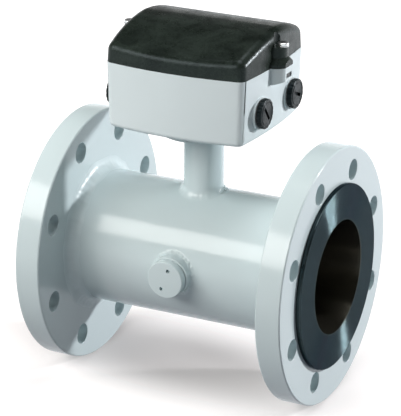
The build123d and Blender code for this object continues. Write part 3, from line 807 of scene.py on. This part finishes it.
POLE_PITCH = 5.08
WELL_FLOOR = 146.6
WELL_PLACE = 24.2
CLAMP_HEAD = 1.65
CLAMP_SLOT = 0.5
CLAMP_DISC_TOP = 0.9
CLAMP_HALF_FOOT = 0.85
CLAMP_HALF_TOP = 1.5
CLAMP_TURN = 0.6
CLAMP_TURN_STEP = 2.1
CLAMP_ROUND = 28
CLAMP_HALF_ROUND = 14


def clamp_screws(name, block, poles, y):
    """Clamp screws at the bottom of a block's wells: each a disc with two halves beside its slot."""
    points, faces = [], []

    def prism(outline, low, high):
        start, count = len(points), len(outline)
        points.extend((*place, WELL_FLOOR + height) for height in (low, high) for place in outline)
        faces.append(tuple(range(start + count - 1, start - 1, -1)))
        faces.append(tuple(range(start + count, start + 2 * count)))
        for step in range(count):
            after = (step + 1) % count
            faces.append((start + step, start + after, start + count + after, start + count + step))

    edge = math.asin(CLAMP_SLOT / 2 / CLAMP_HEAD)
    for number in range(poles):
        x = (number + 0.5 - poles / 2) * POLE_PITCH
        prism(circle(x, y, CLAMP_HEAD, CLAMP_ROUND), 0.0, CLAMP_DISC_TOP)
        for side in (0, math.pi):
            first = CLAMP_TURN + CLAMP_TURN_STEP * number + side + edge
            angles = [first + (math.pi - 2 * edge) * step / CLAMP_HALF_ROUND
                      for step in range(CLAMP_HALF_ROUND + 1)]
            prism([(x + CLAMP_HEAD * math.cos(a), y + CLAMP_HEAD * math.sin(a)) for a in angles],
                  CLAMP_HALF_FOOT, CLAMP_HALF_TOP)
    add_piece(name, points, faces, "zinc_screw", body_of(block))


clamp_screws("clamps_coil", "terminal_block_coil", 6, -WELL_PLACE)
clamp_screws("clamps_signal", "terminal_block_signal", 8, WELL_PLACE)
for name in nodes:
    low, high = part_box(name)
    if name.startswith("plug_") and "seal" not in name:
        plug_piece(name, 1 if high[0] > 0 else -1, (low[1] + high[1]) / 2 / MM)
    if name in ("cap_front", "cap_back"):
        cap_piece(name, 1 if high[1] > 0 else -1)
    if name.startswith("lid_screw_"):
        screw_piece(name)


# Stage, lights and camera

def sheet(name, corners):
    """A flat four-cornered surface of the stage."""
    mesh = bpy.data.meshes.new(name)
    mesh.from_pydata(corners, [], [(0, 1, 2, 3)])
    obj = bpy.data.objects.new(name, mesh)
    bpy.context.scene.collection.objects.link(obj)
    return obj


FLOOR_SEEN = (0.52, 0.485, 0.48)
MIRRORED_TINT = (0.88, 0.95, 1.0)
FLOOR_BOUNCE = (0.21, 0.22, 0.25)
# Painted shade on the floor: in an oval round the object the floor's glow is lowered, so it darkens like
# a shadow.
PAINTED_SHADE_CENTRE = (-0.031, 0.012, FLOOR_Z)
PAINTED_SHADE_TURN = -0.16
PAINTED_SHADE_REACH = (0.051, 0.021)
PAINTED_SHADE_FADE = (1.0, 4.6)
GLOW_IN_PAINTED_SHADE = 0.2
GLOW_NEAR = 0.66
GLOW_FAR = 0.6
GLOW_MIRRORED = 0.6
FAR_FADE = (0.3, 1.5)


def floor_material():
    """A pale floor that shows white, apart from a painted shade under and round the object: its glow is
    lowered in an oval there, over the real shadows.
    """
    m = Nodes("floor")
    rays = m.add("ShaderNodeLightPath")
    camera_ray = rays.outputs["Is Camera Ray"]
    mirrored_ray = m.math("MAXIMUM", rays.outputs["Is Glossy Ray"], rays.outputs["Is Transmission Ray"])
    seen = m.math("MAXIMUM", camera_ray, mirrored_ray)
    m.set(Roughness=0.9, Specular_IOR_Level=0.1)
    tint = m.ramp(camera_ray, MIRRORED_TINT, (1.0, 1.0, 1.0), 0.0, 1.0)
    m.link(tint, m.shader.inputs["Emission Color"])
    m.colour(m.ramp(seen, FLOOR_BOUNCE, FLOOR_SEEN, 0.0, 1.0))
    # Painted shade: the glow is lowered inside the oval round the object, and rises again farther off.
    near = m.distance(m.oval(PAINTED_SHADE_CENTRE, PAINTED_SHADE_TURN, PAINTED_SHADE_REACH))
    far = m.distance(m.place)
    glow_with_painted_shade = m.ramp(near, GLOW_IN_PAINTED_SHADE, GLOW_NEAR, *PAINTED_SHADE_FADE, smooth=True)
    glow = m.math("ADD", glow_with_painted_shade, m.ramp(far, 0.0, GLOW_FAR, *FAR_FADE))
    mirrored = m.math("MULTIPLY", m.math("SUBTRACT", 1.0, camera_ray), GLOW_MIRRORED)
    strength = m.math("MULTIPLY", seen, m.math("MAXIMUM", glow, mirrored))
    m.link(strength, m.shader.inputs["Emission Strength"])
    return m.material


FLOOR_SIZE = 6.0
floor = sheet("floor", [(-FLOOR_SIZE, -FLOOR_SIZE, FLOOR_Z), (FLOOR_SIZE, -FLOOR_SIZE, FLOOR_Z),
                        (FLOOR_SIZE, FLOOR_SIZE, FLOOR_Z), (-FLOOR_SIZE, FLOOR_SIZE, FLOOR_Z)])
floor.data.materials.append(floor_material())

SKY = 0.09


def studio_sky():
    """A faint dome of light that shows white to the camera and as a bright wall in mirrored shine."""
    world = bpy.data.worlds.new("studio")
    bpy.context.scene.world = world
    world.use_nodes = True
    sky = Nodes("studio", world.node_tree)
    rays = sky.add("ShaderNodeLightPath")
    split = sky.add("ShaderNodeSeparateXYZ")
    sky.link(sky.generated, split.inputs["Vector"])
    height = split.outputs["Z"]
    mirrored = sky.math("MAXIMUM", rays.outputs["Is Glossy Ray"], rays.outputs["Is Transmission Ray"])
    wall = sky.math("MULTIPLY", mirrored, sky.ramp(height, 1.0, 0.0, 0.1, 0.35))
    dome = sky.math("MULTIPLY", sky.ramp(height, 1.0, 0.25, 0.0, 0.6), SKY)
    shine = sky.math("MAXIMUM", rays.outputs["Is Camera Ray"], sky.math("MAXIMUM", wall, dome))
    background = world.node_tree.nodes["Background"]
    background.inputs["Color"].default_value = (1, 1, 1, 1)
    sky.link(shine, background.inputs["Strength"])


studio_sky()

LAMP_TARGET = (0, 0, 0.03)


def lamp(name, direction, distance, size, power, colour=(1, 1, 1), shift=0.0):
    """A rectangular soft light that points at the object, moved to its own right by the shift."""
    light = bpy.data.lights.new(name, "AREA")
    light.shape = "RECTANGLE"
    light.size, light.size_y = size
    light.energy = power
    light.color = colour
    obj = bpy.data.objects.new(name, light)
    bpy.context.scene.collection.objects.link(obj)
    way = Vector(direction).normalized()
    obj.location = Vector(LAMP_TARGET) + way * distance
    obj.rotation_mode = "QUATERNION"
    obj.rotation_quaternion = way.to_track_quat("Z", "Y")
    obj.location += obj.rotation_quaternion @ Vector((shift, 0, 0))


lamp("key", (-0.432, -0.719, 0.545), 1.6, (1.47, 0.72), 24, (1.0, 0.985, 0.955), shift=0.05)
lamp("back_right", (1, 0.85, 0.33), 2.4, (0.15, 0.15), 53, (0.965, 0.962, 0.982))
lamp("top", (0.1, 0.1, 1.0), 1.8, (1.2, 1.0), 18)

camera_data = bpy.data.cameras.new("camera")
camera_data.lens = LENS
camera_data.sensor_width = SENSOR_WIDTH
camera = bpy.data.objects.new("camera", camera_data)
bpy.context.scene.collection.objects.link(camera)
turn = Matrix((CAMERA_RIGHT, CAMERA_UP, CAMERA_BACK)).transposed()
camera.matrix_world = Matrix.Translation(CAMERA_PLACE) @ turn.to_4x4()
bpy.context.scene.camera = camera

bpy.context.scene.view_settings.view_transform = "Standard"
